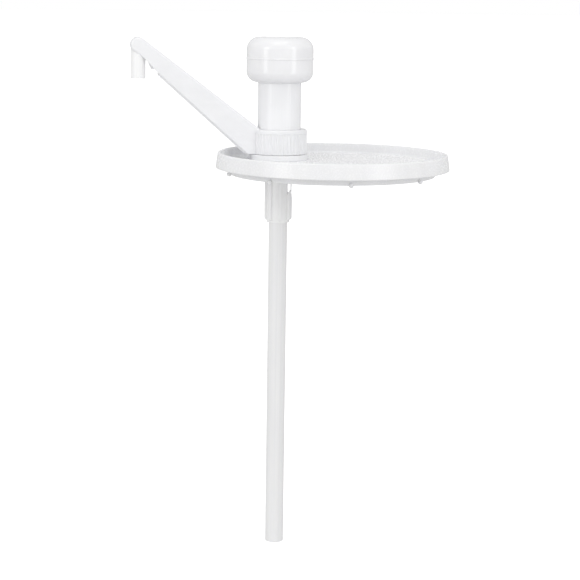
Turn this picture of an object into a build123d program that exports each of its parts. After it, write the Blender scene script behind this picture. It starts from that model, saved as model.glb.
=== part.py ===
"""Condiment pump dispenser: a round lid with a palm-knob pump, a swivelling spout and a dip tube.

Millimetres, +Z up. The origin is on the lid's axis, level with the bottom edge of its rim. At rest the
spout points along -X. The pump stands off centre, on its own vertical axis.
"""

from build123d import *
import os
from math import cos, radians, sin, sqrt, tan

os.makedirs("parts", exist_ok=True)

# Driving dimensions: the lid
LID_R = 87.6
LID_TOP_R = 85.9
RIM_HEIGHT = 11.5
WALL = 2.0
FLOOR_TOP = 3.5
SKIRT_R = 76.8
SKIRT_BOTTOM = -4.7
LUG_COUNT = 8
LUG_R = 1.8
LUG_RING_R = 77.7

# Driving dimensions: the pump
PUMP_X = -35.5
PUMP_Y = 35.5
STROKE = 26.0
BOTTOM_GAP = 0.8
PLUNGER_R = 16.5
PLUNGER_BOTTOM = 19.3
CHAMBER_R = 17.4
CHAMBER_FLOOR = PLUNGER_BOTTOM - STROKE - BOTTOM_GAP
SPIGOT_R = 18.9
RUNNING = 0.05
COLLAR_R = 21.3
COLLAR_CORE_R = 20.85
COLLAR_BOTTOM = 8.0
COLLAR_TOP = 26.5
RIB_COUNT = 48
RIB_WIDTH = 1.5
LOCK_RING_R = 22.5
LOCK_RING_TOP = 7.7

# Driving dimensions: the knob
KNOB_R = 25.4
KNOB_BOTTOM = 61.9
KNOB_SPLIT = 79.4
KNOB_TOP = 95.9
KNOB_WALL = 2.2
DISH_R = 12.9

# Driving dimensions: the spout arm, seen from the side as (distance from the pump axis, height)
TIP_REACH = 107.3
TIP_Z = 89.1
TIP_R = 5.9
TOP_SLOPE = 37.2
UNDER_SLOPE = 41.8
UNDER_START_R = 24.3
UNDER_START_Z = 7.5
TIP_FLANK_SLOPE = 34.0
COVER_END_R = 93.4
ARM_ROOT_HALF = 9.0
ARM_TIP_HALF = 6.1
NOZZLE_R = 5.5
NOZZLE_BOTTOM = 64.0

# Driving dimensions: the valves, the socket and the dip tube
BALL_R = 3.97
BALL_LIFT = 3.0
SEAT_HOLE_R = 2.4
OUTLET_REACH = 31.0
NECK_R = 7.2
NECK_BORE_R = 5.5
NECK_BOTTOM = -30.0
SOCKET_BOTTOM = -45.0
FIN_COUNT = 8
FIN_R = 10.6
FIN_WIDTH = 1.5
TUBE_R = 7.15
TUBE_BORE_R = 5.6
TUBE_BOTTOM = -300.0

# Planes and axes that the pieces share
FLOOR_BOTTOM = FLOOR_TOP - WALL
LID_AXIS = Axis.Z
PUMP_AXIS = Axis((PUMP_X, PUMP_Y, 0), (0, 0, 1))
PUMP_SECTION = Plane(origin=(PUMP_X, PUMP_Y, 0), x_dir=(1, 0, 0), z_dir=(0, -1, 0))
ARM_SIDE = Plane(origin=(PUMP_X, PUMP_Y, 0), x_dir=(-1, 0, 0), z_dir=(0, 1, 0))


def pump_level(height):
    """The horizontal plane on the pump's axis at a height."""
    return Plane(origin=(PUMP_X, PUMP_Y, height))


def turn(*corners, mode=Mode.ADD):
    """Revolves a closed outline of (radius, height) corners about the pump's axis."""
    with BuildSketch(PUMP_SECTION) as outline:
        with BuildLine():
            Polyline(*corners, close=True)
        make_face()
    revolve(outline.sketch, axis=PUMP_AXIS, mode=mode)


def round_corner(centre_r, centre_z, radius, start_angle, end_angle):
    """A bend in a side outline, from one angle to the other, with 0 degrees outwards and 90 up."""
    middle = (start_angle + end_angle) / 2
    places = []
    for angle in (start_angle, middle, end_angle):
        places.append((centre_r + radius * cos(radians(angle)), centre_z + radius * sin(radians(angle))))
    return ThreePointArc(*places)


def finish_piece(piece, name):
    """Labels a finished piece and writes its STEP file."""
    piece.part.label = name
    export_step(piece.part, f"parts/{name}.step")


# ---------------------------------------------------------------- the lid and what fastens the pump to it

rim_draft = (LID_R - LID_TOP_R) / RIM_HEIGHT
rim_inner_at_floor = LID_R - rim_draft * FLOOR_TOP - WALL

with BuildPart() as lid:
    with BuildSketch(Plane.XZ):
        with BuildLine():
            Polyline(
                (0, FLOOR_BOTTOM),
                (SKIRT_R - WALL, FLOOR_BOTTOM),
                (SKIRT_R - WALL, SKIRT_BOTTOM),
                (SKIRT_R, SKIRT_BOTTOM),
                (SKIRT_R, FLOOR_BOTTOM),
                (LID_R - WALL - rim_draft * FLOOR_BOTTOM, FLOOR_BOTTOM),
                (LID_R - WALL, 0),
                (LID_R, 0),
                (LID_TOP_R, RIM_HEIGHT),
                (LID_TOP_R - WALL, RIM_HEIGHT),
                (rim_inner_at_floor, FLOOR_TOP),
                (0, FLOOR_TOP),
                close=True,
            )
        make_face()
    revolve(axis=LID_AXIS)
    rim_edges = lid.edges().filter_by(GeomType.CIRCLE).group_by(Axis.Z)[-1]
    fillet(rim_edges, 0.8)
    floor_corner = lid.edges().filter_by(GeomType.CIRCLE).filter_by(
        lambda edge: abs(edge.radius - rim_inner_at_floor) < 0.05
    )
    fillet(floor_corner, 1.6)
    wall_foot = lid.edges().filter_by(GeomType.CIRCLE).filter_by(lambda edge: abs(edge.radius - LID_R) < 0.05)
    fillet(wall_foot, 0.6)
    with Locations((0, 0, SKIRT_BOTTOM + 0.3)):
        with PolarLocations(LUG_RING_R, LUG_COUNT):
            Sphere(LUG_R)
    with Locations((PUMP_X, PUMP_Y, 0)):
        Cylinder(SPIGOT_R + 0.2, 20, mode=Mode.SUBTRACT)
finish_piece(lid, "lid")

GASKET_THICKNESS = 0.8
FLANGE_R = 21.5
flange_top = FLOOR_BOTTOM - GASKET_THICKNESS
flange_bottom = flange_top - WALL

with BuildPart() as base_gasket:
    turn(
        (SPIGOT_R + RUNNING, flange_top),
        (FLANGE_R, flange_top),
        (FLANGE_R, FLOOR_BOTTOM),
        (SPIGOT_R + RUNNING, FLOOR_BOTTOM),
    )
finish_piece(base_gasket, "base_gasket")

with BuildPart() as lock_ring:
    turn(
        (SPIGOT_R + RUNNING, FLOOR_TOP),
        (LOCK_RING_R, FLOOR_TOP),
        (LOCK_RING_R, LOCK_RING_TOP),
        (SPIGOT_R + RUNNING, LOCK_RING_TOP),
    )
    fillet(lock_ring.edges().filter_by(GeomType.CIRCLE).group_by(Axis.Z)[-1].sort_by(SortBy.RADIUS)[-1], 0.7)
finish_piece(lock_ring, "lock_ring")

# ---------------------------------------------------------------- the pump base: chamber, neck and latch

SPIGOT_TOP = 14.0
BEAD_Z = 11.4
BEAD_R = 19.35
SPRING_BOSS_R = 7.6
LATCH_R = 10.1
LATCH_THICKNESS = 0.6
LATCH_WIDTH = 2.6
HOOK_DEPTH = 1.5
LATCH_BOTTOM = -22.0

with BuildPart() as pump_base:
    turn(
        (NECK_BORE_R, NECK_BOTTOM),
        (NECK_R, NECK_BOTTOM),
        (NECK_R, -12.5),
        (9.0, CHAMBER_FLOOR - 3.0),
        (CHAMBER_R, CHAMBER_FLOOR - WALL),
        (SPIGOT_R, CHAMBER_FLOOR),
        (SPIGOT_R, flange_bottom),
        (FLANGE_R, flange_bottom),
        (FLANGE_R, flange_top),
        (SPIGOT_R, flange_top),
        (SPIGOT_R, BEAD_Z - 0.6),
        (BEAD_R, BEAD_Z - 0.2),
        (BEAD_R, BEAD_Z + 0.2),
        (SPIGOT_R, BEAD_Z + 0.6),
        (SPIGOT_R, SPIGOT_TOP),
        (CHAMBER_R, SPIGOT_TOP),
        (CHAMBER_R, CHAMBER_FLOOR),
        (SPRING_BOSS_R, CHAMBER_FLOOR),
        (SPRING_BOSS_R, CHAMBER_FLOOR + 2.5),
        (NECK_BORE_R, CHAMBER_FLOOR + 2.5),
    )
    with BuildSketch(pump_level(LATCH_BOTTOM)):
        with Locations((LATCH_R - LATCH_THICKNESS / 2, 0)):
            Rectangle(LATCH_THICKNESS, LATCH_WIDTH)
    extrude(amount=CHAMBER_FLOOR - 1.0 - LATCH_BOTTOM)
    with BuildSketch(pump_level(LATCH_BOTTOM)):
        with Locations((LATCH_R - HOOK_DEPTH / 2, 0)):
            Rectangle(HOOK_DEPTH, LATCH_WIDTH)
    extrude(amount=1.2)
finish_piece(pump_base, "pump_base")

with BuildPart() as swivel_seal:
    turn(
        (CHAMBER_R + 0.1, SPIGOT_TOP),
        (SPIGOT_R - 0.05, SPIGOT_TOP),
        (SPIGOT_R - 0.05, SPIGOT_TOP + 1.0),
        (CHAMBER_R + 0.1, SPIGOT_TOP + 1.0),
    )
finish_piece(swivel_seal, "swivel_seal")

# ---------------------------------------------------------------- the spout head: collar and hollow arm

ROOF = 2.4
CHANNEL_TIP_R = 3.2
VALVE_BORE_R = 4.6
SEAT_RING_R = 4.95
SEAT_BOTTOM = 20.5
SEAT_TOP = 23.5
VALVE_BORE_TOP = 32.2
PORT_R = 2.4
PORT_Z = 17.6
CHANNEL_START_R = 38.5
CHANNEL_HALF = 3.0
OUTLET_SPIGOT_R = 4.1
OUTLET_BORE_R = 2.9
OUTLET_SPIGOT_BOTTOM = 70.0
HEAD_STEP_Z = SPIGOT_TOP + 1.0
HOOK_START_R = 96.8
HOOK_END_R = 99.4
HOOK_HALF = 2.2
SEAL_GROOVE_BOTTOM = 21.5
SEAL_GROOVE_TOP = 24.5
SEAL_GROOVE_R = 18.2
GUIDE_BORE_R = PLUNGER_R + 0.3
RIB_TOP = 23.2


def under_line(reach, lift=0.0):
    """Height of the arm's underside at a reach, raised square to itself by lift."""
    slope = radians(UNDER_SLOPE)
    return UNDER_START_Z + (reach - UNDER_START_R) * tan(slope) + lift / cos(slope)


def top_line(reach, drop=0.0):
    """Height of the arm's top edge at a reach, lowered square to itself by drop."""
    slope = radians(TOP_SLOPE)
    touch_r = TIP_REACH - TIP_R * sin(slope)
    touch_z = TIP_Z + TIP_R * cos(slope)
    return touch_z - (touch_r - reach) * tan(slope) - drop / cos(slope)


def tip_point(radius, angle):
    """A point on a circle about the arm's tip, where 0 degrees points away from the pump and 90 points up."""
    return TIP_REACH + radius * cos(radians(angle)), TIP_Z + radius * sin(radians(angle))


def flank_line(reach, lift=0.0):
    """Height of the short flank under the arm's tip at a reach, raised square to itself by lift."""
    slope = radians(TIP_FLANK_SLOPE)
    touch_r, touch_z = tip_point(TIP_R, TIP_FLANK_SLOPE - 90)
    return touch_z - (touch_r - reach) * tan(slope) + lift / cos(slope)


FLANK_START_R = 102.0
TIP_FLOOR_START_R = COVER_END_R - 2.5


def tip_floor(reach, lift=0.0):
    """Height of the hollow's closed floor between the cover and the tip at a reach, raised by lift."""
    start_z = under_line(TIP_FLOOR_START_R, ROOF)
    end_z = flank_line(FLANK_START_R, TIP_R - CHANNEL_TIP_R)
    share = (reach - TIP_FLOOR_START_R) / (FLANK_START_R - TIP_FLOOR_START_R)
    return start_z + share * (end_z - start_z) + lift


with BuildPart() as arm_blank:
    with BuildSketch(ARM_SIDE):
        with BuildLine():
            Polyline(
                tip_point(TIP_R, TOP_SLOPE + 90),
                (10.0, top_line(10.0)),
                (10.0, COLLAR_BOTTOM),
                (UNDER_START_R + (COLLAR_BOTTOM - UNDER_START_Z) / tan(radians(UNDER_SLOPE)), COLLAR_BOTTOM),
                (COVER_END_R, under_line(COVER_END_R)),
                (FLANK_START_R, flank_line(FLANK_START_R)),
                tip_point(TIP_R, TIP_FLANK_SLOPE - 90),
            )
            ThreePointArc(
                tip_point(TIP_R, TIP_FLANK_SLOPE - 90),
                tip_point(TIP_R, 0),
                tip_point(TIP_R, TOP_SLOPE + 90),
            )
        make_face()
    extrude(amount=ARM_ROOT_HALF + 5, both=True)
    with BuildSketch(pump_level(0)):
        with BuildLine():
            Polyline(
                (0, ARM_ROOT_HALF),
                (0, -ARM_ROOT_HALF),
                (-TIP_REACH - 2 * TIP_R, -ARM_TIP_HALF),
                (-TIP_REACH - 2 * TIP_R, ARM_TIP_HALF),
                close=True,
            )
        make_face()
    extrude(amount=120, mode=Mode.INTERSECT)
    side_edges = arm_blank.edges().filter_by(lambda edge: abs(edge.tangent_at(0.5).Y) < 0.2)
    rounded_edges = side_edges.filter_by(
        lambda edge: (edge @ 0.5).Z > top_line(PUMP_X - (edge @ 0.5).X) - 0.05
        or (edge @ 0.5).X < PUMP_X - TIP_REACH - 1.0
    )
    fillet(rounded_edges, 2.0)

with BuildPart() as arm_hollow:
    with BuildSketch(ARM_SIDE):
        with BuildLine():
            Polyline(
                (OUTLET_REACH, top_line(OUTLET_REACH, ROOF)),
                (OUTLET_REACH, VALVE_BORE_TOP - 7.0),
                (CHANNEL_START_R, VALVE_BORE_TOP - 7.0),
                (CHANNEL_START_R, under_line(CHANNEL_START_R) - 2.0),
                (TIP_FLOOR_START_R, under_line(TIP_FLOOR_START_R) - 2.0),
                (TIP_FLOOR_START_R, tip_floor(TIP_FLOOR_START_R)),
                (FLANK_START_R, tip_floor(FLANK_START_R)),
                tip_point(CHANNEL_TIP_R, TIP_FLANK_SLOPE - 90),
            )
            ThreePointArc(
                tip_point(CHANNEL_TIP_R, TIP_FLANK_SLOPE - 90),
                tip_point(CHANNEL_TIP_R, 0),
                tip_point(CHANNEL_TIP_R, TOP_SLOPE + 90),
            )
            Line(tip_point(CHANNEL_TIP_R, TOP_SLOPE + 90), (OUTLET_REACH, top_line(OUTLET_REACH, ROOF)))
        make_face()
    extrude(amount=CHANNEL_HALF, both=True)

with BuildPart() as spout_head:
    turn(
        (0, COLLAR_BOTTOM),
        (COLLAR_CORE_R, COLLAR_BOTTOM),
        (COLLAR_CORE_R, RIB_TOP),
        (COLLAR_R, RIB_TOP + 0.6),
        (COLLAR_R, COLLAR_TOP - 0.9),
        (COLLAR_R - 0.9, COLLAR_TOP),
        (0, COLLAR_TOP),
    )
    with BuildSketch(pump_level(COLLAR_BOTTOM)):
        with PolarLocations(COLLAR_R - RIB_WIDTH / 2, RIB_COUNT):
            Circle(RIB_WIDTH / 2)
        with Locations((-COLLAR_R, 0)):
            Rectangle(COLLAR_R, 2 * ARM_ROOT_HALF + 2.0, mode=Mode.SUBTRACT)
    extrude(amount=RIB_TOP + 0.4 - COLLAR_BOTTOM)
    add(arm_blank.part)
    with BuildSketch(pump_level(OUTLET_SPIGOT_BOTTOM)):
        with Locations((-TIP_REACH, 0)):
            Circle(OUTLET_SPIGOT_R)
    extrude(amount=TIP_Z - OUTLET_SPIGOT_BOTTOM)
    turn(
        (0, COLLAR_BOTTOM - 1),
        (SPIGOT_R + RUNNING, COLLAR_BOTTOM - 1),
        (SPIGOT_R + RUNNING, BEAD_Z - 0.9),
        (BEAD_R + 0.25, BEAD_Z - 0.5),
        (BEAD_R + 0.25, BEAD_Z + 0.5),
        (SPIGOT_R + RUNNING, BEAD_Z + 0.9),
        (SPIGOT_R + RUNNING, HEAD_STEP_Z),
        (CHAMBER_R, HEAD_STEP_Z),
        (CHAMBER_R, SEAL_GROOVE_BOTTOM),
        (SEAL_GROOVE_R, SEAL_GROOVE_BOTTOM),
        (SEAL_GROOVE_R, SEAL_GROOVE_TOP),
        (GUIDE_BORE_R, SEAL_GROOVE_TOP),
        (GUIDE_BORE_R, COLLAR_TOP + 8),
        (0, COLLAR_TOP + 8),
        mode=Mode.SUBTRACT,
    )
    add(arm_hollow.part, mode=Mode.SUBTRACT)
    with BuildSketch(pump_level(COLLAR_BOTTOM - 3)):
        with Locations((-OUTLET_REACH, 0)):
            Circle(SEAT_RING_R)
    extrude(amount=SEAT_TOP - COLLAR_BOTTOM + 3, mode=Mode.SUBTRACT)
    with BuildSketch(pump_level(SEAT_TOP)):
        with Locations((-OUTLET_REACH, 0)):
            Circle(VALVE_BORE_R)
    extrude(amount=VALVE_BORE_TOP - SEAT_TOP, mode=Mode.SUBTRACT)
    with BuildSketch(Plane(origin=(PUMP_X - CHAMBER_R + 2, PUMP_Y, PORT_Z), z_dir=(-1, 0, 0))):
        Circle(PORT_R)
    extrude(amount=OUTLET_REACH - CHAMBER_R + 2, mode=Mode.SUBTRACT)
    with BuildSketch(pump_level(OUTLET_SPIGOT_BOTTOM)):
        with Locations((-TIP_REACH, 0)):
            Circle(OUTLET_BORE_R)
    extrude(amount=TIP_Z - OUTLET_SPIGOT_BOTTOM, mode=Mode.SUBTRACT)
    with BuildSketch(pump_level(TIP_Z - 25)):
        with Locations((-(HOOK_START_R + HOOK_END_R) / 2, 0)):
            Rectangle(HOOK_END_R - HOOK_START_R + 1.0, 2 * HOOK_HALF + 0.6)
    extrude(amount=17, mode=Mode.SUBTRACT)
finish_piece(spout_head, "spout_head")

# ---------------------------------------------------------------- the spout's underside cover and its nozzle

COVER_THICKNESS = 1.5
COVER_HALF = 5.7
TONGUE_HALF = 2.7
TONGUE_HEIGHT = 3.8
COVER_START_R = 25.4
TONGUE_START_R = CHANNEL_START_R + 0.5
TONGUE_STEP_R = COVER_END_R - 3.2
HOOK_DROP = 2.6
FLOOR_DEPTH = 3.4
PLUG_TOP = PORT_Z - PORT_R - 0.3
PLUG_R = SEAT_RING_R - 0.1

with BuildPart() as valve_plug:
    with BuildSketch(pump_level(COLLAR_BOTTOM - 3)):
        with Locations((-OUTLET_REACH, 0)):
            Circle(PLUG_R)
    extrude(amount=PLUG_TOP - COLLAR_BOTTOM + 3)
    with BuildSketch(ARM_SIDE):
        with BuildLine():
            Polyline(
                (OUTLET_REACH - 2 * PLUG_R, under_line(OUTLET_REACH - 2 * PLUG_R, -0.5)),
                (OUTLET_REACH + 2 * PLUG_R, under_line(OUTLET_REACH + 2 * PLUG_R, -0.5)),
                (OUTLET_REACH - 2 * PLUG_R, under_line(OUTLET_REACH + 2 * PLUG_R, -0.5)),
                close=True,
            )
        make_face()
    extrude(amount=2 * PLUG_R, both=True, mode=Mode.INTERSECT)

with BuildPart() as spout_cover:
    with BuildSketch(ARM_SIDE):
        with BuildLine():
            Polyline(
                (COVER_START_R, under_line(COVER_START_R)),
                (COVER_END_R - 1.0, under_line(COVER_END_R - 1.0)),
                (COVER_END_R - 1.0, under_line(COVER_END_R - 1.0, -COVER_THICKNESS)),
                (COVER_START_R + 1.5, under_line(COVER_START_R + 1.5, -COVER_THICKNESS)),
                close=True,
            )
        make_face()
    extrude(amount=COVER_HALF, both=True)
    with BuildSketch(ARM_SIDE):
        with BuildLine():
            Polyline(
                (TONGUE_START_R, under_line(TONGUE_START_R)),
                (TONGUE_STEP_R, under_line(TONGUE_STEP_R)),
                (TONGUE_STEP_R, tip_floor(TONGUE_STEP_R, 0.2)),
                (HOOK_END_R, tip_floor(HOOK_END_R, 0.2)),
                (HOOK_END_R, tip_floor(HOOK_END_R, 1.6)),
                (TONGUE_STEP_R, under_line(TONGUE_STEP_R, TONGUE_HEIGHT)),
                (TONGUE_START_R, under_line(TONGUE_START_R, TONGUE_HEIGHT)),
                close=True,
            )
        make_face()
    extrude(amount=TONGUE_HALF, both=True)
    with BuildSketch(ARM_SIDE):
        with BuildLine():
            Polyline(
                (HOOK_START_R, tip_floor(HOOK_START_R, 1.0)),
                (HOOK_START_R, tip_floor(HOOK_START_R, -FLOOR_DEPTH - 0.4)),
                (HOOK_START_R - 1.4, tip_floor(HOOK_START_R - 1.4, -FLOOR_DEPTH - 0.5)),
                (HOOK_START_R + 0.6, tip_floor(HOOK_START_R + 0.6, -FLOOR_DEPTH - HOOK_DROP)),
                (HOOK_END_R, tip_floor(HOOK_END_R, -FLOOR_DEPTH - 0.8)),
                (HOOK_END_R, tip_floor(HOOK_END_R, 1.0)),
                close=True,
            )
        make_face()
    extrude(amount=HOOK_HALF, both=True)
    add(valve_plug.part)
finish_piece(spout_cover, "spout_cover")

NOZZLE_BORE_R = 3.4

with BuildPart() as nozzle:
    with BuildSketch(pump_level(NOZZLE_BOTTOM)):
        with Locations((-TIP_REACH, 0)):
            Circle(NOZZLE_R)
    extrude(amount=TIP_Z - NOZZLE_BOTTOM)
    with BuildSketch(pump_level(NOZZLE_BOTTOM)):
        with Locations((-TIP_REACH, 0)):
            Circle(NOZZLE_BORE_R)
    extrude(amount=TIP_Z - NOZZLE_BOTTOM, mode=Mode.SUBTRACT)
    with BuildSketch(pump_level(OUTLET_SPIGOT_BOTTOM)):
        with Locations((-TIP_REACH, 0)):
            Circle(OUTLET_SPIGOT_R)
    extrude(amount=TIP_Z - OUTLET_SPIGOT_BOTTOM, mode=Mode.SUBTRACT)
    add(arm_blank.part, mode=Mode.SUBTRACT)
finish_piece(nozzle, "nozzle")

# ---------------------------------------------------------------- the seal, the plunger and its spring

with BuildPart() as wiper_seal:
    turn(
        (PLUNGER_R + RUNNING, SEAL_GROOVE_BOTTOM + 0.1),
        (SEAL_GROOVE_R - 0.05, SEAL_GROOVE_BOTTOM + 0.1),
        (SEAL_GROOVE_R - 0.05, SEAL_GROOVE_TOP - 0.1),
        (PLUNGER_R + 0.7, SEAL_GROOVE_TOP - 0.1),
        (PLUNGER_R + 0.7, SEAL_GROOVE_BOTTOM + 1.4),
        (PLUNGER_R + RUNNING, SEAL_GROOVE_BOTTOM + 0.9),
    )
finish_piece(wiper_seal, "wiper_seal")

SLEEVE_BORE_R = 14.6
SLEEVE_TOP = 84.0
POCKET_R = 10.6
POCKET_TOP = 48.0
CORE_WALL = 1.6
BEAD_TOP = PLUNGER_BOTTOM + 2.0

with BuildPart() as plunger_sleeve:
    turn(
        (SLEEVE_BORE_R, BEAD_TOP),
        (PLUNGER_R, BEAD_TOP),
        (PLUNGER_R, SLEEVE_TOP - 1.0),
        (PLUNGER_R - 1.0, SLEEVE_TOP),
        (0, SLEEVE_TOP),
        (0, SLEEVE_TOP - WALL),
        (SLEEVE_BORE_R, SLEEVE_TOP - WALL),
    )
finish_piece(plunger_sleeve, "plunger_sleeve")

with BuildPart() as plunger_core:
    turn(
        (POCKET_R, PLUNGER_BOTTOM),
        (CHAMBER_R - 0.4, PLUNGER_BOTTOM),
        (CHAMBER_R - 0.4, BEAD_TOP),
        (SLEEVE_BORE_R - RUNNING, BEAD_TOP),
        (SLEEVE_BORE_R - RUNNING, BEAD_TOP + 3.0),
        (POCKET_R + CORE_WALL, BEAD_TOP + 3.0),
        (POCKET_R + CORE_WALL, POCKET_TOP + CORE_WALL),
        (0, POCKET_TOP + CORE_WALL),
        (0, POCKET_TOP),
        (POCKET_R, POCKET_TOP),
    )
finish_piece(plunger_core, "plunger_core")

SPRING_WIRE_R = 0.8
SPRING_MEAN_R = 8.9
SPRING_PITCH = 7.5
SPRING_END_GAP = 0.1

with BuildPart() as return_spring:
    spring_foot = CHAMBER_FLOOR + SPRING_WIRE_R + SPRING_END_GAP
    spring_height = POCKET_TOP - CHAMBER_FLOOR - 2 * (SPRING_WIRE_R + SPRING_END_GAP)
    with BuildLine() as coil:
        Helix(SPRING_PITCH, spring_height, SPRING_MEAN_R, center=(PUMP_X, PUMP_Y, spring_foot))
    with BuildSketch(Plane(origin=coil.line @ 0, z_dir=coil.line % 0)):
        Circle(SPRING_WIRE_R)
    sweep(path=coil.line, is_frenet=True)
finish_piece(return_spring, "return_spring")

# ---------------------------------------------------------------- the palm knob

BOTTOM_ROUND = 8.0
TOP_ROUND = 9.5
HUB_WALL = 1.9
HUB_TOP = 74.0
LIP_WALL = 1.4
LIP_DEPTH = 2.9
DISH_FLOOR = 93.6
BOSS_R = 10.0


bottom_centre = (KNOB_R - BOTTOM_ROUND, KNOB_BOTTOM + BOTTOM_ROUND)
top_centre = (KNOB_R - TOP_ROUND, KNOB_TOP - TOP_ROUND)
inner_r = KNOB_R - KNOB_WALL

with BuildPart() as knob_lower:
    with BuildSketch(PUMP_SECTION):
        with BuildLine():
            round_corner(*bottom_centre, BOTTOM_ROUND, -90, 0)
            Polyline(
                (KNOB_R, bottom_centre[1]),
                (KNOB_R, KNOB_SPLIT - RUNNING),
                (inner_r, KNOB_SPLIT - RUNNING),
                (inner_r, bottom_centre[1]),
            )
            round_corner(*bottom_centre, BOTTOM_ROUND - KNOB_WALL, 0, -90)
            Polyline(
                (bottom_centre[0], KNOB_BOTTOM + KNOB_WALL),
                (bottom_centre[0] + 1.0, KNOB_BOTTOM + KNOB_WALL + 0.2),
                (PLUNGER_R + RUNNING + HUB_WALL, HUB_TOP),
                (PLUNGER_R + RUNNING, HUB_TOP),
                (PLUNGER_R + RUNNING, KNOB_BOTTOM),
                (bottom_centre[0], KNOB_BOTTOM),
            )
        make_face()
    revolve(axis=PUMP_AXIS)
finish_piece(knob_lower, "knob_lower")

with BuildPart() as knob_upper:
    with BuildSketch(PUMP_SECTION):
        with BuildLine():
            Polyline(
                (KNOB_R, top_centre[1]),
                (KNOB_R, KNOB_SPLIT + 0.7),
                (KNOB_R + 0.3, KNOB_SPLIT + 0.4),
                (KNOB_R + 0.3, KNOB_SPLIT),
                (inner_r - RUNNING, KNOB_SPLIT),
                (inner_r - RUNNING, KNOB_SPLIT - LIP_DEPTH),
                (inner_r - LIP_WALL, KNOB_SPLIT - LIP_DEPTH),
                (inner_r - LIP_WALL, KNOB_SPLIT + 1.0),
                (inner_r, KNOB_SPLIT + 2.4),
                (inner_r, top_centre[1]),
            )
            round_corner(*top_centre, TOP_ROUND - KNOB_WALL, 0, 90)
            Polyline(
                (top_centre[0], KNOB_TOP - KNOB_WALL),
                (top_centre[0] - 0.8, DISH_FLOOR - KNOB_WALL),
                (0, DISH_FLOOR - KNOB_WALL),
                (0, DISH_FLOOR),
                (DISH_R, DISH_FLOOR),
                (DISH_R + 0.3, KNOB_TOP - 0.5),
                (DISH_R + 0.8, KNOB_TOP),
                (top_centre[0], KNOB_TOP),
            )
            round_corner(*top_centre, TOP_ROUND, 90, 0)
        make_face()
    revolve(axis=PUMP_AXIS)
    turn(
        (BOSS_R - 1.6, SLEEVE_TOP + 0.05),
        (BOSS_R, SLEEVE_TOP + 0.05),
        (BOSS_R, DISH_FLOOR - 1.0),
        (BOSS_R - 1.6, DISH_FLOOR - 1.0),
    )
finish_piece(knob_upper, "knob_upper")

DISC_THICKNESS = 1.2

with BuildPart() as knob_disc:
    turn(
        (0, DISH_FLOOR),
        (DISH_R - RUNNING, DISH_FLOOR),
        (DISH_R - RUNNING, DISH_FLOOR + DISC_THICKNESS - 0.4),
        (DISH_R - RUNNING - 0.4, DISH_FLOOR + DISC_THICKNESS),
        (0, DISH_FLOOR + DISC_THICKNESS),
    )
finish_piece(knob_disc, "knob_disc")

# ---------------------------------------------------------------- the two ball valves

SEAT_GAP = 0.06


def ball_height_over(cone_foot):
    """Height of a ball's centre when it rests in a 45 degree cone that starts at the seat's hole."""
    return cone_foot - SEAT_HOLE_R + BALL_R * sqrt(2) + SEAT_GAP


OUTLET_CONE_FOOT = SEAT_BOTTOM + 0.8
outlet_ball_z = ball_height_over(OUTLET_CONE_FOOT)
cone_rise = SEAT_TOP - OUTLET_CONE_FOOT
OUTLET_AXIS = Axis((PUMP_X - OUTLET_REACH, PUMP_Y, 0), (0, 0, 1))

with BuildPart() as outlet_seat:
    with BuildSketch(Plane(origin=(PUMP_X - OUTLET_REACH, PUMP_Y, 0), x_dir=(1, 0, 0), z_dir=(0, -1, 0))):
        with BuildLine():
            Polyline(
                (SEAT_HOLE_R, SEAT_BOTTOM),
                (SEAT_RING_R - RUNNING, SEAT_BOTTOM),
                (SEAT_RING_R - RUNNING, SEAT_TOP),
                (SEAT_HOLE_R + cone_rise, SEAT_TOP),
                (SEAT_HOLE_R, OUTLET_CONE_FOOT),
                close=True,
            )
        make_face()
    revolve(axis=OUTLET_AXIS)
finish_piece(outlet_seat, "outlet_seat")

with BuildPart() as outlet_ball:
    with Locations((PUMP_X - OUTLET_REACH, PUMP_Y, outlet_ball_z)):
        Sphere(BALL_R)
finish_piece(outlet_ball, "outlet_ball")

WASHER_THICKNESS = 1.0
WEB_TOP = NECK_BOTTOM - WASHER_THICKNESS
WEB_BOTTOM = WEB_TOP - 3.2
INLET_CONE_FOOT = WEB_BOTTOM + 1.0
inlet_ball_z = ball_height_over(INLET_CONE_FOOT)
CAGE_BORE_R = 4.4
CAGE_TOP = inlet_ball_z + BALL_R + BALL_LIFT + 2.0
SOCKET_BORE_R = TUBE_R + RUNNING
CORE_R = 8.7
FIN_ROOT_R = CORE_R - 0.5
FIN_TOP = -14.0
FIN_FOOT = -43.6
FIN_FOOT_ROUND = 2.2
FIN_SHOULDER = 4.5
WINDOW_FLOOR = LATCH_BOTTOM - 0.3
WINDOW_X = 5.2

with BuildPart() as coupling_washer:
    turn(
        (NECK_BORE_R - 0.2, WEB_TOP),
        (NECK_R, WEB_TOP),
        (NECK_R, NECK_BOTTOM),
        (NECK_BORE_R - 0.2, NECK_BOTTOM),
    )
finish_piece(coupling_washer, "coupling_washer")

with BuildPart() as inlet_cage:
    turn(
        (CAGE_BORE_R, NECK_BOTTOM),
        (NECK_BORE_R - RUNNING, NECK_BOTTOM),
        (NECK_BORE_R - RUNNING, CAGE_TOP),
        (CAGE_BORE_R, CAGE_TOP),
    )
    with BuildSketch(pump_level(CAGE_TOP)):
        Rectangle(2 * CAGE_BORE_R + 1, 1.6)
        Rectangle(1.6, 2 * CAGE_BORE_R + 1)
    extrude(amount=-1.6)
finish_piece(inlet_cage, "inlet_cage")

with BuildPart() as inlet_ball:
    with Locations((PUMP_X, PUMP_Y, inlet_ball_z)):
        Sphere(BALL_R)
finish_piece(inlet_ball, "inlet_ball")

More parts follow.
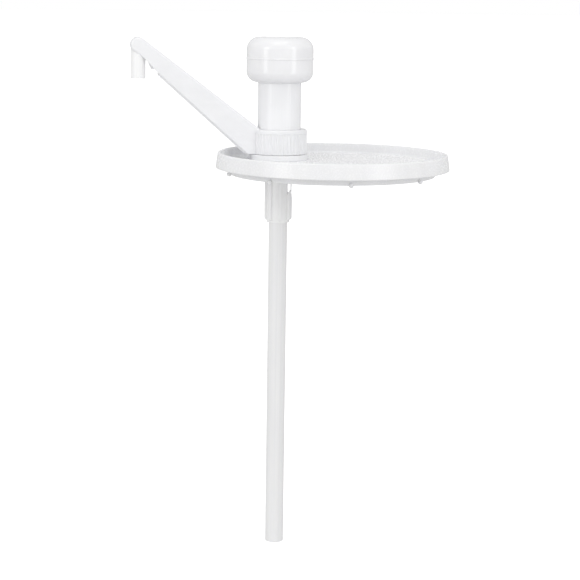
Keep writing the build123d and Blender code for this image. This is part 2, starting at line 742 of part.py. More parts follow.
with BuildPart() as valve_coupling:
    turn(
        (NECK_R + RUNNING, FIN_TOP),
        (CORE_R, FIN_TOP),
        (CORE_R, SOCKET_BOTTOM),
        (SOCKET_BORE_R, SOCKET_BOTTOM),
        (SOCKET_BORE_R, WEB_BOTTOM),
        (SEAT_HOLE_R, WEB_BOTTOM),
        (SEAT_HOLE_R, INLET_CONE_FOOT),
        (SEAT_HOLE_R + WEB_TOP - INLET_CONE_FOOT, WEB_TOP),
        (NECK_R + RUNNING, WEB_TOP),
    )
    for index in range(FIN_COUNT):
        bearing = radians(index * 360 / FIN_COUNT)
        fin_plane = Plane(
            origin=(PUMP_X, PUMP_Y, 0),
            x_dir=(cos(bearing), sin(bearing), 0),
            z_dir=(sin(bearing), -cos(bearing), 0),
        )
        # The three fins on the +X side stop short at the window, where the latch arm reaches down.
        beside_latch = index in (0, 1, FIN_COUNT - 1)
        fin_top = WINDOW_FLOOR if beside_latch else FIN_TOP
        fin_shoulder = LATCH_R if beside_latch else FIN_R
        with BuildSketch(fin_plane):
            with BuildLine():
                Line((FIN_ROOT_R, FIN_FOOT), (FIN_R - FIN_FOOT_ROUND, FIN_FOOT))
                round_corner(FIN_R - FIN_FOOT_ROUND, FIN_FOOT + FIN_FOOT_ROUND, FIN_FOOT_ROUND, -90, 0)
                Polyline(
                    (FIN_R, FIN_FOOT + FIN_FOOT_ROUND),
                    (FIN_R, fin_top - FIN_SHOULDER),
                    (fin_shoulder, fin_top),
                    (FIN_ROOT_R, fin_top),
                    (FIN_ROOT_R, FIN_FOOT),
                )
            make_face()
        extrude(amount=FIN_WIDTH / 2, both=True)
    with BuildSketch(pump_level(WINDOW_FLOOR)):
        with Locations((WINDOW_X + CORE_R / 2, 0)):
            Rectangle(CORE_R, 2 * CORE_R)
    extrude(amount=FIN_TOP - WINDOW_FLOOR, mode=Mode.SUBTRACT)
finish_piece(valve_coupling, "valve_coupling")

with BuildPart() as suction_tube:
    turn(
        (TUBE_BORE_R, TUBE_BOTTOM),
        (TUBE_R, TUBE_BOTTOM),
        (TUBE_R, WEB_BOTTOM - 0.1),
        (TUBE_BORE_R, WEB_BOTTOM - 0.1),
    )
finish_piece(suction_tube, "suction_tube")
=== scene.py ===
"""The looks of a condiment pump dispenser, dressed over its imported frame, in metres."""

import math

import bmesh
import bpy
from mathutils import Matrix, Vector


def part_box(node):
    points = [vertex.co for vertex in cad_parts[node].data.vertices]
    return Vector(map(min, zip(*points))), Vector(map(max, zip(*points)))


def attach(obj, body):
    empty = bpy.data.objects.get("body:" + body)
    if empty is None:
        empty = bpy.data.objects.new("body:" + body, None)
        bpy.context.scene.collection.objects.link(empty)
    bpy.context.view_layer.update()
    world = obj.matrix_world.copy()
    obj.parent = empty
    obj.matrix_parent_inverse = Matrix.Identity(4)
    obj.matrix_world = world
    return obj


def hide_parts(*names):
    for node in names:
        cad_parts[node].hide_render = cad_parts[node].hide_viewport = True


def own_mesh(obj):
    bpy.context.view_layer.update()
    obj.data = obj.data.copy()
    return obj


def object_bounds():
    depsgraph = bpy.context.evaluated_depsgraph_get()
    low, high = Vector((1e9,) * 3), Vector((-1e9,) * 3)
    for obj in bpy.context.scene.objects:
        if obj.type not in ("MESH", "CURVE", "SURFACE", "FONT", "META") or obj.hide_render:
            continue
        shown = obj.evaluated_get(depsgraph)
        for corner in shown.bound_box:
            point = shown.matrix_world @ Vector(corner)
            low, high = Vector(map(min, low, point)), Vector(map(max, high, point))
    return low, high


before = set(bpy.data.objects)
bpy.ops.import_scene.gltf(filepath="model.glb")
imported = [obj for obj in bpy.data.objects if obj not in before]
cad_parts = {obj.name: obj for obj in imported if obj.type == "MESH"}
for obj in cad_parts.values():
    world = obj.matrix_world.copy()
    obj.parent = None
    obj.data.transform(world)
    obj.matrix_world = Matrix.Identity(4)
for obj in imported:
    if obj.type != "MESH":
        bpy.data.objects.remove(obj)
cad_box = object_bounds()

# ---------------------------------------------------------------- the lid
# One injection moulding in white polypropylene: a flat floor with a raised border inside the rim. Eight
# small lugs on the skirt centre it in the container's mouth.

MM = 0.001
AROUND = 144
SHARP = math.radians(40)


class Finish:
    """One material: its node tree, which node() adds to, and its surface shader."""

    def __init__(self, name):
        self.material = bpy.data.materials.new(name)
        self.material.use_nodes = True
        self.tree = self.material.node_tree
        self.shader = self.tree.nodes["Principled BSDF"]

    def fill(self, sockets, inputs):
        """Puts constants on a node's sockets, and links what varies."""
        for name, value in inputs.items():
            if isinstance(value, Value):
                self.tree.links.new(value.socket, sockets[name])
            else:
                sockets[name].default_value = value

    def node(self, kind, settings, inputs, output=0):
        """Adds a node, sets it up, fills its sockets and returns one of its outputs, wrapped."""
        made = self.tree.nodes.new(kind)
        for name, value in settings.items():
            setattr(made, name, value)
        self.fill(made.inputs, inputs)
        return Value(self, made.outputs[output])

    def place(self, centre=(0, 0, 0), stretch=(1, 1, 1)):
        """Where a point is on the object, from a centre, stretched along the axes."""
        spot = self.node("ShaderNodeTexCoord", {}, {}, "Object")
        moved = self.node("ShaderNodeVectorMath", {"operation": "SUBTRACT"}, {0: spot, 1: centre})
        return self.node("ShaderNodeVectorMath", {"operation": "MULTIPLY"}, {0: moved, 1: stretch})

    def about(self, centre):
        """The distance of a point from an upright axis, and its direction from it."""
        flat = self.place(centre, (1, 1, 0))
        far = self.node("ShaderNodeVectorMath", {"operation": "LENGTH"}, {0: flat}, "Value")
        return far, self.node("ShaderNodeVectorMath", {"operation": "NORMALIZE"}, {0: flat})

    def height(self):
        """A point's height."""
        return self.node("ShaderNodeSeparateXYZ", {}, {0: self.place()}, "Z")

    def noise(self, spot, scale, detail=2.0, roughness=0.5):
        """Cloudy noise between 0 and 1."""
        inputs = {"Vector": spot, "Scale": scale, "Detail": detail, "Roughness": roughness}
        return self.node("ShaderNodeTexNoise", {}, inputs)

    def mix(self, share, first, second):
        """A colour that goes from the first to the second as share goes from 0 to 1."""
        return self.node("ShaderNodeMix", {"data_type": "RGBA"}, {0: share, 6: first, 7: second}, 2)

    def bump(self, height, depth):
        """The normal of a surface raised by height, where 1 is depth in metres."""
        return self.node("ShaderNodeBump", {}, {"Height": height, "Distance": depth}, "Normal")


class Value:
    """A number or a colour that varies over a surface. Sums on it add Math nodes."""

    def __init__(self, finish, socket):
        self.finish = finish
        self.socket = socket

    def maths(self, operation, first, second):
        return self.finish.node("ShaderNodeMath", {"operation": operation}, {0: first, 1: second})

    def __add__(self, other):
        return self.maths("ADD", self, other)

    def __radd__(self, other):
        return self.maths("ADD", other, self)

    def __sub__(self, other):
        return self.maths("SUBTRACT", self, other)

    def __rsub__(self, other):
        return self.maths("SUBTRACT", other, self)

    def __mul__(self, other):
        return self.maths("MULTIPLY", self, other)

    def __rmul__(self, other):
        return self.maths("MULTIPLY", other, self)

    def over(self, low, high):
        """0 up to low, 1 from high, and smooth between."""
        inputs = {"Value": self, "From Min": low, "From Max": high}
        return self.finish.node("ShaderNodeMapRange", {"interpolation_type": "SMOOTHSTEP"}, inputs)

    def near(self, middle, spread):
        """1 at middle, fading to 0 at spread on either side."""
        return self.over(middle - spread, middle) * (1 - self.over(middle, middle + spread))


def rounded(shell, corners, closed=True):
    """Draws an outline of (radius, height, rounding) corners in the XZ plane, in mm."""
    places = [Vector((radius, 0, height)) for radius, height, _ in corners]
    points = [shell.verts.new(place * MM) for place in places]
    for index in range(0 if closed else 1, len(points)):
        if places[index - 1].x or places[index].x:
            shell.edges.new((points[index - 1], points[index]))
    for index, (_, _, rounding) in enumerate(corners):
        if rounding:
            before = places[index - 1] - places[index]
            after = places[(index + 1) % len(places)] - places[index]
            reach = rounding / math.tan(before.angle(after) / 2)
            segments = max(3, round(4 * math.sqrt(rounding)))
            bmesh.ops.bevel(
                shell, geom=[points[index]], offset=reach * MM, offset_type="OFFSET",
                affect="VERTICES", segments=segments, profile=0.5, material=-1,
            )


def spin_round(shell, steps=AROUND):
    """Spins all that a shell holds once round the upright axis at the origin."""
    bmesh.ops.spin(
        shell, geom=shell.verts[:] + shell.edges[:], cent=(0, 0, 0), axis=(0, 0, 1), dvec=(0, 0, 0),
        angle=math.tau, steps=steps, use_merge=True, use_duplicate=False,
    )
    bmesh.ops.remove_doubles(shell, verts=shell.verts, dist=1e-7)


def turned(corners, centre):
    """A closed shell turned from an outline about an upright axis through centre."""
    shell = bmesh.new()
    rounded(shell, corners)
    spin_round(shell)
    bmesh.ops.recalc_face_normals(shell, faces=shell.faces)
    bmesh.ops.translate(shell, verts=shell.verts, vec=centre)
    return shell


def keep(shell, name, finish, body, slot, *stands_for):
    """Makes a finished shell a piece that moves with a body and stands for CAD nodes."""
    mesh = bpy.data.meshes.new(name)
    shell.to_mesh(mesh)
    shell.free()
    mesh.materials.append(finish.material)
    mesh.shade_smooth()
    mesh.set_sharp_from_angle(angle=SHARP)
    piece = bpy.data.objects.new(name, mesh)
    bpy.context.scene.collection.objects.link(piece)
    evened = piece.modifiers.new("even shading", "WEIGHTED_NORMAL")
    evened.keep_sharp = True
    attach(piece, body)
    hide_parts(*stands_for)
    return piece


def dress(finish, *nodes):
    """Puts a finish on CAD nodes that keep their shape."""
    for node in nodes:
        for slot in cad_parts[node].material_slots:
            slot.material = finish.material


LID_R = 87.6
LID_TOP_R = 85.9
RIM_HEIGHT = 11.5
RIM_WALL = 2.0
FLOOR_TOP = 3.5
FLOOR_BOTTOM = 1.5
SKIRT_R = 76.8
SKIRT_BOTTOM = -4.7
PUMP_HOLE_R = 19.1
LUG_COUNT = 8
LUG_RING_R = 77.7
LUG_R = 1.8
LUG_HEIGHT = SKIRT_BOTTOM + 0.3
PUMP_AXIS = (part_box("pump_base")[0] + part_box("pump_base")[1]) / 2
PUMP_AXIS.z = 0
RIM_STEPS = 192
HOLE_STEPS = 96
INNER_FOOT = LID_R - (LID_R - LID_TOP_R) / RIM_HEIGHT * FLOOR_TOP - RIM_WALL
BORDER_R = INNER_FOOT - 4.6
BORDER_TOP = FLOOR_TOP + 0.35

lid_mesh = bmesh.new()
rounded(lid_mesh, [
    (BORDER_R - 1.0, FLOOR_TOP, 0),
    (BORDER_R, FLOOR_TOP, 0.3),
    (BORDER_R + 0.5, BORDER_TOP, 0.3),
    (INNER_FOOT, BORDER_TOP, 1.6),
    (LID_TOP_R - RIM_WALL, RIM_HEIGHT, 0.8),
    (LID_TOP_R, RIM_HEIGHT, 0.8),
    (LID_R, 0, 0.6),
    (LID_R - RIM_WALL, 0, 0.3),
    (LID_R - RIM_WALL - 0.2, FLOOR_BOTTOM, 0.4),
    (SKIRT_R, FLOOR_BOTTOM, 0.4),
    (SKIRT_R, SKIRT_BOTTOM, 0.5),
    (SKIRT_R - RIM_WALL, SKIRT_BOTTOM, 0.3),
    (SKIRT_R - RIM_WALL, FLOOR_BOTTOM, 0.5),
    (SKIRT_R - RIM_WALL - 1.5, FLOOR_BOTTOM, 0),
], closed=False)
spin_round(lid_mesh, RIM_STEPS)
for level in (FLOOR_TOP, FLOOR_BOTTOM):
    # The outline's open end at this level has been spun into a circle. The floor fills it up to the hole.
    bmesh.ops.create_circle(
        lid_mesh, cap_ends=False, segments=HOLE_STEPS, radius=PUMP_HOLE_R * MM,
        matrix=Matrix.Translation(PUMP_AXIS + Vector((0, 0, level * MM))),
    )
    free = [edge for edge in lid_mesh.edges if len(edge.link_faces) < 2]
    rims = [edge for edge in free if math.isclose(edge.verts[0].co.z, level * MM, abs_tol=1e-6)]
    bmesh.ops.triangle_fill(lid_mesh, use_beauty=True, use_dissolve=False, edges=rims, normal=(0, 0, 1))
hole_rims = [edge for edge in lid_mesh.edges if edge.is_boundary]
bmesh.ops.bridge_loops(lid_mesh, edges=hole_rims)
bmesh.ops.recalc_face_normals(lid_mesh, faces=lid_mesh.faces)
lug_place = Matrix.Translation(Vector((LUG_RING_R, 0, LUG_HEIGHT)) * MM)
for index in range(LUG_COUNT):
    bearing = Matrix.Rotation(math.tau * index / LUG_COUNT, 4, "Z")
    bmesh.ops.create_uvsphere(
        lid_mesh, u_segments=20, v_segments=12, radius=LUG_R * MM, matrix=bearing @ lug_place,
    )
bmesh.ops.remove_doubles(lid_mesh, verts=lid_mesh.verts, dist=1e-7)

lid_finish = Finish("lid polypropylene")
lid_far, lid_way = lid_finish.about((0, 0, 0))
lid_cloud = lid_finish.noise(lid_finish.place(), 26.0, 3.0)
lid_flow = lid_finish.noise(lid_way, 9.0, 4.0, 0.6)
wiping_path = lid_finish.node("ShaderNodeCombineXYZ", {}, {0: lid_far * 900, 1: lid_cloud * 3, 2: 0.0})
wiping = lid_finish.noise(wiping_path, 1.0, 3.0, 0.7)
lid_skin = lid_finish.noise(lid_finish.place(), 900.0, 2.0)
scratches = wiping.over(0.60, 0.72) * (1 - (lid_far * 1000).over(80, 84))
lid_shade = lid_cloud * 0.5 + lid_flow * 0.5
lid_finish.fill(lid_finish.shader.inputs, {
    "Base Color": lid_finish.mix(
        lid_shade.over(0.34, 0.66), (0.835, 0.838, 0.85, 1), (0.87, 0.872, 0.885, 1),
    ),
    "Roughness": 0.24 + lid_skin * 0.06 + scratches * 0.12,
    "Normal": lid_finish.bump(lid_skin * 0.3 + lid_shade * 2.0 - scratches * 0.3, 0.000004),
    "IOR": 1.49,
    "Subsurface Weight": 0.5,
    "Subsurface Radius": (1.0, 1.0, 1.1),
    "Subsurface Scale": 0.006,
})
keep(lid_mesh, "lid_moulding", lid_finish, "base", "lid_plastic", "lid")

# ---------------------------------------------------------------- the lock ring and the gasket
# A flat nut in the same plastic holds the pump base down on the lid's floor, and a ring of white
# silicone seals the base's flange against the lid's underside.

LOCK_RING_R = 22.5
LOCK_RING_TOP = 7.7
SPIGOT_R = 18.95


def moulded(name, dark, light, gloss, grain, stretch=(1, 1, 1)):
    """White moulded plastic: faint clouding, flow lines drawn out by stretch, fine grain and light scuffs."""
    finish = Finish(name)
    cloud = finish.noise(finish.place(), 30.0, 3.0)
    flow = finish.noise(finish.place(stretch=stretch), 140.0, 3.0, 0.6)
    fine = finish.noise(finish.place(), 1400.0)
    scuffs = finish.noise(finish.place(stretch=(1, 3, 9)), 160.0, 3.0, 0.75).over(0.60, 0.74)
    shade = cloud * 0.5 + flow * 0.5
    finish.fill(finish.shader.inputs, {
        "Base Color": finish.mix(shade.over(0.34, 0.66), (*dark, 1), (*light, 1)),
        "Roughness": gloss + fine * 0.06 + scuffs * 0.10,
        "Normal": finish.bump(fine * 0.5 + shade * 2.0 - scuffs * 0.5, grain),
        "IOR": 1.49,
        "Subsurface Weight": 0.1,
        "Subsurface Radius": (1.0, 1.0, 1.1),
        "Subsurface Scale": 0.001,
    })
    return finish


body_finish = moulded("body polypropylene", (0.835, 0.838, 0.85), (0.87, 0.872, 0.885), 0.24, 0.000008)
ring_mesh = turned([
    (SPIGOT_R, FLOOR_TOP, 0.3),
    (LOCK_RING_R, FLOOR_TOP, 0.3),
    (LOCK_RING_R, LOCK_RING_TOP, 0.4),
    (SPIGOT_R, LOCK_RING_TOP, 0.3),
], PUMP_AXIS)
keep(ring_mesh, "lock_nut", body_finish, "base", "body_plastic", "lock_ring")

rubber = Finish("white silicone")
rubber_mottle = rubber.noise(rubber.place(), 300.0, 3.0)
rubber.fill(rubber.shader.inputs, {
    "Base Color": rubber.mix(rubber_mottle.over(0.3, 0.7), (0.70, 0.70, 0.69, 1), (0.76, 0.76, 0.75, 1)),
    "Roughness": 0.55 + rubber_mottle * 0.15,
    "Normal": rubber.bump(rubber_mottle, 0.00002),
    "Subsurface Weight": 0.1,
    "Subsurface Radius": (1.0, 1.0, 1.0),
    "Subsurface Scale": 0.001,
})
dress(rubber, "base_gasket", "swivel_seal", "wiper_seal", "coupling_washer")

# ---------------------------------------------------------------- the pump base
# The chamber cup with its flange, neck and latch arm is one moulding, clamped by the lock ring. The
# mould leaves every edge of it slightly round. The small valve parts inside are the same plastic.

SOFT_EDGE = math.radians(32)
FLAT = math.radians(0.5)


def softened(node, rounding):
    """A merged copy of a CAD node's mesh with its edges and inner corners rounded, in mm."""
    shell = bmesh.new()
    shell.from_mesh(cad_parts[node].data)
    bmesh.ops.remove_doubles(shell, verts=shell.verts, dist=0.002 * MM)
    bmesh.ops.dissolve_limit(
        shell, angle_limit=FLAT, use_dissolve_boundaries=False,
        verts=shell.verts, edges=shell.edges, delimit={"NORMAL"},
    )
    corners = [edge for edge in shell.edges if edge.calc_face_angle(0) > SOFT_EDGE]
    bmesh.ops.bevel(
        shell, geom=corners, offset=rounding * MM, offset_type="OFFSET",
        affect="EDGES", segments=3, profile=0.5, clamp_overlap=True, material=-1,
    )
    return shell


keep(softened("pump_base", 0.3), "chamber_cup", body_finish, "base", "body_plastic", "pump_base")
dress(body_finish, "plunger_core", "outlet_seat", "inlet_cage")

# ---------------------------------------------------------------- the spout head, its cover and nozzle
# The ribbed collar and the hollow arm are one moulding. The underside strip snaps in by its hook, and
# the nozzle is a short natural polyethylene tube pushed on the arm's spigot.

spout_finish = moulded(
    "spout polypropylene", (0.81, 0.813, 0.825), (0.845, 0.847, 0.86), 0.27, 0.000006, (0.5, 5, 1.4),
)
keep(softened("spout_head", 0.3), "collar_and_arm", spout_finish, "head", "spout_plastic", "spout_head")
keep(softened("spout_cover", 0.2), "arm_underside", spout_finish, "head", "spout_plastic", "spout_cover")

nozzle_finish = moulded(
    "nozzle polyethylene", (0.86, 0.86, 0.865), (0.90, 0.90, 0.90), 0.30, 0.000008, (3, 3, 0.3),
)
keep(softened("nozzle", 0.25), "drop_tube", nozzle_finish, "head", "nozzle_plastic", "nozzle")

# ---------------------------------------------------------------- the plunger sleeve
# A plain glossy moulded cylinder, closed at the top. The wiper seal rubs faint upright streaks on it,
# and leaves a polished band where it rests.

SLEEVE_R = 16.5
SLEEVE_BORE_R = 14.6
SLEEVE_BOTTOM = 21.3
SLEEVE_TOP = 84.0
SLEEVE_CROWN = 2.0

sleeve_mesh = turned([
    (SLEEVE_BORE_R, SLEEVE_BOTTOM, 0.3),
    (SLEEVE_R, SLEEVE_BOTTOM, 0.3),
    (SLEEVE_R, SLEEVE_TOP, 1.0),
    (0, SLEEVE_TOP, 0),
    (0, SLEEVE_TOP - SLEEVE_CROWN, 0),
    (SLEEVE_BORE_R, SLEEVE_TOP - SLEEVE_CROWN, 1.0),
], PUMP_AXIS)
sleeve_finish = Finish("sleeve polypropylene")
sleeve_streaks = sleeve_finish.noise(sleeve_finish.place(stretch=(1, 1, 0.02)), 900.0, 3.0, 0.6)
sleeve_cloud = sleeve_finish.noise(sleeve_finish.place(), 40.0, 3.0)
wiped = sleeve_finish.height().near(0.0385, 0.009)
sleeve_finish.fill(sleeve_finish.shader.inputs, {
    "Base Color": sleeve_finish.mix(
        (sleeve_cloud * 0.7 + sleeve_streaks * 0.3).over(0.34, 0.66),
        (0.835, 0.838, 0.85, 1), (0.87, 0.872, 0.885, 1),
    ),
    "Roughness": 0.22 + sleeve_streaks * 0.08 - wiped * 0.06,
    "Normal": sleeve_finish.bump(sleeve_streaks * 0.4 + sleeve_cloud, 0.00001),
    "IOR": 1.49,
    "Subsurface Weight": 0.1,
    "Subsurface Radius": (1.0, 1.0, 1.1),
    "Subsurface Scale": 0.001,
})
keep(sleeve_mesh, "plunger_tube", sleeve_finish, "plunger", "body_plastic", "plunger_sleeve")

# ---------------------------------------------------------------- the return spring
# Drawn stainless wire, coiled with its two end turns closed so that it stands square in its pockets.

WIRE_R = 0.8
COIL_R = 8.9
COIL_STEPS = 24
SPRING_FOOT = -7.4
SPRING_HEAD = 47.9
CLOSED_TURNS = 1.25
OPEN_TURNS = 6.5

spring_mesh = bmesh.new()
wire_start = Matrix.Translation(Vector((COIL_R, 0, SPRING_FOOT + WIRE_R)) * MM)
bmesh.ops.create_circle(
    spring_mesh, cap_ends=True, segments=12, radius=WIRE_R * MM,
    matrix=wire_start @ Matrix.Rotation(math.pi / 2, 4, "X"),
)
closed_rise = 2.1 * WIRE_R
spring_rise = SPRING_HEAD - SPRING_FOOT - 2 * WIRE_R
open_rise = (spring_rise - 2 * CLOSED_TURNS * closed_rise) / OPEN_TURNS
front = spring_mesh.faces[:]
joins = []
for turns, rise in ((CLOSED_TURNS, closed_rise), (OPEN_TURNS, open_rise), (CLOSED_TURNS, closed_rise)):
    steps = round(turns * COIL_STEPS)
    grown = bmesh.ops.spin(
        spring_mesh, geom=front, cent=(0, 0, 0), axis=(0, 0, 1),
        dvec=(0, 0, rise * turns / steps * MM), angle=math.tau * turns, steps=steps,
        use_merge=False, use_duplicate=False,
    )
    bmesh.ops.delete(spring_mesh, geom=joins, context="FACES_ONLY")
    front = [part for part in grown["geom_last"] if isinstance(part, bmesh.types.BMFace)]
    joins = front
bmesh.ops.recalc_face_normals(spring_mesh, faces=spring_mesh.faces)
bmesh.ops.translate(spring_mesh, verts=spring_mesh.verts, vec=PUMP_AXIS)
steel = Finish("stainless steel")
drawn = steel.noise(steel.place(stretch=(1, 1, 6)), 1500.0, 3.0, 0.7)
steel.fill(steel.shader.inputs, {
    "Base Color": steel.mix(drawn.over(0.3, 0.7), (0.52, 0.52, 0.53, 1), (0.66, 0.66, 0.66, 1)),
    "Metallic": 1.0,
    "Roughness": 0.22 + drawn * 0.16,
    "Normal": steel.bump(drawn, 0.000008),
})
spring = keep(spring_mesh, "coil_spring", steel, "base", "stainless", "return_spring")
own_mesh(spring)
for valve_ball in ("outlet_ball", "inlet_ball"):
    lowest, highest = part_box(valve_ball)
    ball_mesh = bmesh.new()
    bmesh.ops.create_icosphere(
        ball_mesh, subdivisions=4, radius=(highest.z - lowest.z) / 2,
        matrix=Matrix.Translation((lowest + highest) / 2),
    )
    keep(ball_mesh, valve_ball + "_steel", steel, valve_ball, "stainless", valve_ball)

# ---------------------------------------------------------------- the palm knob
# Two glossy halves snapped together over the sleeve's crown. The upper half carries the parting bead
# and a shallow dish, and a thin disc is pressed into the dish.

KNOB_R = 25.4
KNOB_BOTTOM = 61.9
KNOB_SPLIT = 79.4
KNOB_TOP = 95.9
KNOB_WALL = 2.2
BEAD = 0.3
HUB_R = 16.55
HUB_TOP = 74.0
HUB_WALL = 2.2
INNER_R = KNOB_R - KNOB_WALL
LIP_BOTTOM = KNOB_SPLIT - 2.9
LIP_WALL = 1.4
DISH_R = 12.9
DISH_FLOOR = 93.6
DISC_R = DISH_R - 0.05
DISC_TOP = 94.8
DISC_BORDER = 2.15
DISC_SINK = 0.25

knob_finish = Finish("knob plastic")
knob_cloud = knob_finish.noise(knob_finish.place(), 45.0, 3.0)
knob_fine = knob_finish.noise(knob_finish.place(), 1500.0)
rubs = knob_finish.noise(knob_finish.place(stretch=(1, 4, 2)), 700.0, 3.0, 0.8).over(0.62, 0.74)
palm = knob_finish.height().over(0.088, 0.0955)
knob_finish.fill(knob_finish.shader.inputs, {
    "Base Color": knob_finish.mix(
        knob_cloud.over(0.3, 0.7), (0.815, 0.815, 0.827, 1), (0.85, 0.85, 0.862, 1),
    ),
    "Roughness": 0.16 + knob_fine * 0.05 + palm * 0.05 + rubs * palm * 0.15,
    "Normal": knob_finish.bump(knob_fine * 0.3 + knob_cloud * 2.0 - rubs * palm * 0.6, 0.000012),
    "IOR": 1.5,
    "Subsurface Weight": 0.1,
    "Subsurface Radius": (1.0, 1.0, 1.1),
    "Subsurface Scale": 0.001,
})
lower_mesh = turned([
    (HUB_R, KNOB_BOTTOM, 0.4),
    (KNOB_R, KNOB_BOTTOM, 8.0),
    (KNOB_R, KNOB_SPLIT - 0.02, 0),
    (INNER_R, KNOB_SPLIT - 0.02, 0),
    (INNER_R, KNOB_BOTTOM + KNOB_WALL, 5.8),
    (HUB_R + HUB_WALL, KNOB_BOTTOM + KNOB_WALL, 0),
    (HUB_R + HUB_WALL - 0.3, HUB_TOP, 0.3),
    (HUB_R, HUB_TOP, 0.3),
], PUMP_AXIS)
keep(lower_mesh, "knob_base", knob_finish, "plunger", "knob_plastic", "knob_lower")

upper_mesh = turned([
    (KNOB_R, KNOB_SPLIT + 1.0, 0.3),
    (KNOB_R + BEAD, KNOB_SPLIT + 0.6, 0.2),
    (KNOB_R + BEAD, KNOB_SPLIT, 0.1),
    (INNER_R - 0.05, KNOB_SPLIT, 0),
    (INNER_R - 0.05, LIP_BOTTOM, 0.3),
    (INNER_R - LIP_WALL, LIP_BOTTOM, 0.3),
    (INNER_R - LIP_WALL, KNOB_TOP - KNOB_WALL, 6.0),
    (DISH_R + 2.6, KNOB_TOP - KNOB_WALL, 0.5),
    (DISH_R + 1.6, DISH_FLOOR - KNOB_WALL, 0.5),
    (0, DISH_FLOOR - KNOB_WALL, 0),
    (0, DISH_FLOOR, 0),
    (DISH_R, DISH_FLOOR, 0.3),
    (DISH_R + 0.3, KNOB_TOP, 0.9),
    (KNOB_R, KNOB_TOP, 9.5),
], PUMP_AXIS)
keep(upper_mesh, "knob_cap", knob_finish, "plunger", "knob_plastic", "knob_upper")

disc_mesh = turned([
    (0, DISH_FLOOR, 0),
    (DISC_R, DISH_FLOOR, 0.2),
    (DISC_R, DISC_TOP, 0.4),
    (DISC_R - DISC_BORDER, DISC_TOP, 0.2),
    (DISC_R - DISC_BORDER - 0.3, DISC_TOP - DISC_SINK, 0.2),
    (0, DISC_TOP - DISC_SINK, 0),
], PUMP_AXIS)
keep(disc_mesh, "knob_inset", knob_finish, "plunger", "knob_plastic", "knob_disc")

# ---------------------------------------------------------------- the valve socket and the dip tube
# The finned socket is satin natural polyethylene. The dip tube is extruded from the same plastic, milky
# and slightly see-through, with the die's fine lines along it.

socket_finish = moulded(
    "socket polyethylene", (0.85, 0.85, 0.85), (0.90, 0.90, 0.90), 0.36, 0.00001, (5, 5, 0.4),
)
socket_mesh = softened("valve_coupling", 0.25)
keep(socket_mesh, "finned_socket", socket_finish, "base", "socket_plastic", "valve_coupling")

TUBE_R = 7.15
TUBE_BORE_R = 5.6
TUBE_BOTTOM = -300.0
TUBE_TOP = -34.3

tube_mesh = turned([
    (TUBE_BORE_R, TUBE_BOTTOM, 0.15),
    (TUBE_R, TUBE_BOTTOM, 0.25),
    (TUBE_R, TUBE_TOP, 0.3),
    (TUBE_BORE_R, TUBE_TOP, 0.2),
], PUMP_AXIS)
tube_finish = Finish("dip tube polyethylene")
die_lines = tube_finish.noise(tube_finish.place(PUMP_AXIS, (1, 1, 0.004)), 700.0, 3.0, 0.6)
tube_cloud = tube_finish.noise(tube_finish.place(PUMP_AXIS, (1, 1, 0.2)), 60.0, 3.0)
tube_finish.fill(tube_finish.shader.inputs, {
    "Base Color": tube_finish.mix(
        (tube_cloud * 0.4 + die_lines * 0.6).over(0.3, 0.7), (0.81, 0.81, 0.815, 1), (0.87, 0.87, 0.87, 1),
    ),
    "Roughness": 0.30 + die_lines * 0.10,
    "Normal": tube_finish.bump(die_lines + tube_cloud, 0.00003),
    "IOR": 1.51,
    "Subsurface Weight": 0.2,
    "Subsurface Radius": (1.0, 1.0, 1.1),
    "Subsurface Scale": 0.001,
})
keep(tube_mesh, "dip_tube", tube_finish, "base", "tube_plastic", "suction_tube")

# ---------------------------------------------------------------- the studio
# White card on the floor, a soft glow from the front, two tall soft boxes whose reflections run down
# the round parts, a box overhead and a weak fill. The card is lit to white for the lens and throws
# nothing back.

LENS_MM = 106.6
CAMERA_AZIMUTH = math.radians(-10)
CAMERA_DISTANCE = 1.2824
CAMERA_HEIGHT = 0.1314
CAMERA_YAW = math.radians(8.64)
CAMERA_PITCH = math.radians(9.93)
CAMERA_ROLL = math.radians(0.8)

camera = bpy.data.objects.new("camera", bpy.data.cameras.new("camera"))
bpy.context.scene.collection.objects.link(camera)
camera.data.lens = LENS_MM
camera.location = (
    CAMERA_DISTANCE * math.sin(CAMERA_AZIMUTH),
    -CAMERA_DISTANCE * math.cos(CAMERA_AZIMUTH),
    CAMERA_HEIGHT,
)
aim = Matrix.Rotation(-CAMERA_YAW, 4, "Z") @ Matrix.Rotation(math.pi / 2 - CAMERA_PITCH, 4, "X")
camera.rotation_euler = (aim @ Matrix.Rotation(CAMERA_ROLL, 4, "Z")).to_euler()
bpy.context.scene.camera = camera
bpy.context.scene.view_settings.view_transform = "Standard"

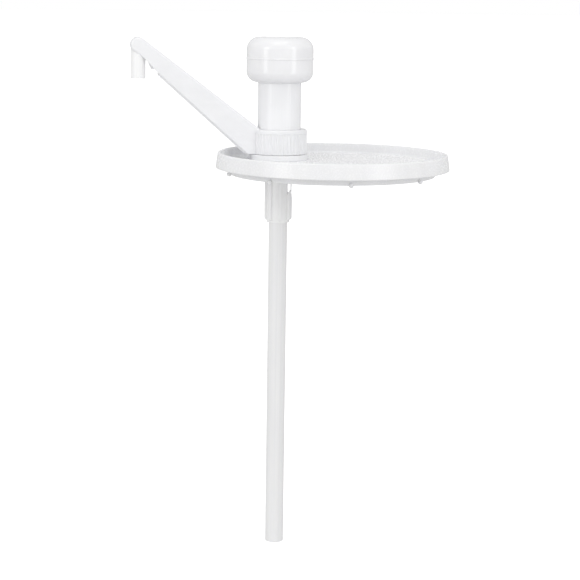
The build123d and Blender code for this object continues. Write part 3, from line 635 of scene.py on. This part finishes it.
GLOW_BACK = 0.70
GLOW_FRONT = 0.83
world = bpy.data.worlds.new("studio")
bpy.context.scene.world = world
world.use_nodes = True
sky = world.node_tree
ray = sky.nodes.new("ShaderNodeTexCoord")
facing = sky.nodes.new("ShaderNodeVectorMath")
facing.operation = "DOT_PRODUCT"
towards_camera = Vector((math.sin(CAMERA_AZIMUTH), -math.cos(CAMERA_AZIMUTH), 0.1))
facing.inputs[1].default_value = towards_camera.normalized()
glow = sky.nodes.new("ShaderNodeMapRange")
glow.inputs["From Min"].default_value = -0.6
glow.inputs["From Max"].default_value = 0.8
glow.inputs["To Min"].default_value = GLOW_BACK
glow.inputs["To Max"].default_value = GLOW_FRONT
eye = sky.nodes.new("ShaderNodeLightPath")
strength = sky.nodes.new("ShaderNodeMix")
strength.inputs[3].default_value = 1.0
sky.links.new(ray.outputs["Generated"], facing.inputs[0])
sky.links.new(facing.outputs["Value"], glow.inputs["Value"])
sky.links.new(eye.outputs["Is Camera Ray"], strength.inputs[0])
sky.links.new(glow.outputs[0], strength.inputs[2])
sky.links.new(strength.outputs[0], sky.nodes["Background"].inputs["Strength"])
sky.nodes["Background"].inputs["Color"].default_value = (1, 1, 1, 1)

bpy.ops.mesh.primitive_plane_add(size=60, location=(0, 0, cad_box[0].z - 0.0005))
floor = bpy.context.object
floor.name = "floor"
floor.visible_diffuse = False
floor.visible_glossy = False
card = Finish("white card")
card_fibre = card.noise(card.place(), 60.0, 3.0)
card.fill(card.shader.inputs, {
    "Base Color": card.mix(card_fibre, (0.88, 0.88, 0.88, 1), (0.90, 0.90, 0.90, 1)),
    "Roughness": 0.9,
    "Emission Color": (1, 1, 1, 1),
    "Emission Strength": 0.62,
})
floor.data.materials.append(card.material)


def soft_box(name, bearing, distance, height, wide, tall, watts):
    """A soft box at a bearing in degrees from the camera's side, facing the pump."""
    light = bpy.data.lights.new(name, "AREA")
    light.shape = "RECTANGLE"
    light.size = wide
    light.size_y = tall
    light.energy = watts
    lamp = bpy.data.objects.new(name, light)
    bpy.context.scene.collection.objects.link(lamp)
    turn = CAMERA_AZIMUTH + math.radians(bearing)
    lamp.location = (distance * math.sin(turn), -distance * math.cos(turn), height)
    lamp.rotation_euler = (-lamp.location).to_track_quat("-Z", "Y").to_euler()
    return lamp


soft_box("left box", -50, 1.4, 0.35, 0.35, 0.9, 3)
soft_box("right box", 50, 1.4, 0.35, 0.35, 0.9, 3)
soft_box("overhead box", 0, 0.5, 1.6, 1.0, 1.0, 5)
fill = soft_box("front fill", -6, 1.7, 0.45, 0.9, 0.6, 2)
fill.visible_glossy = False
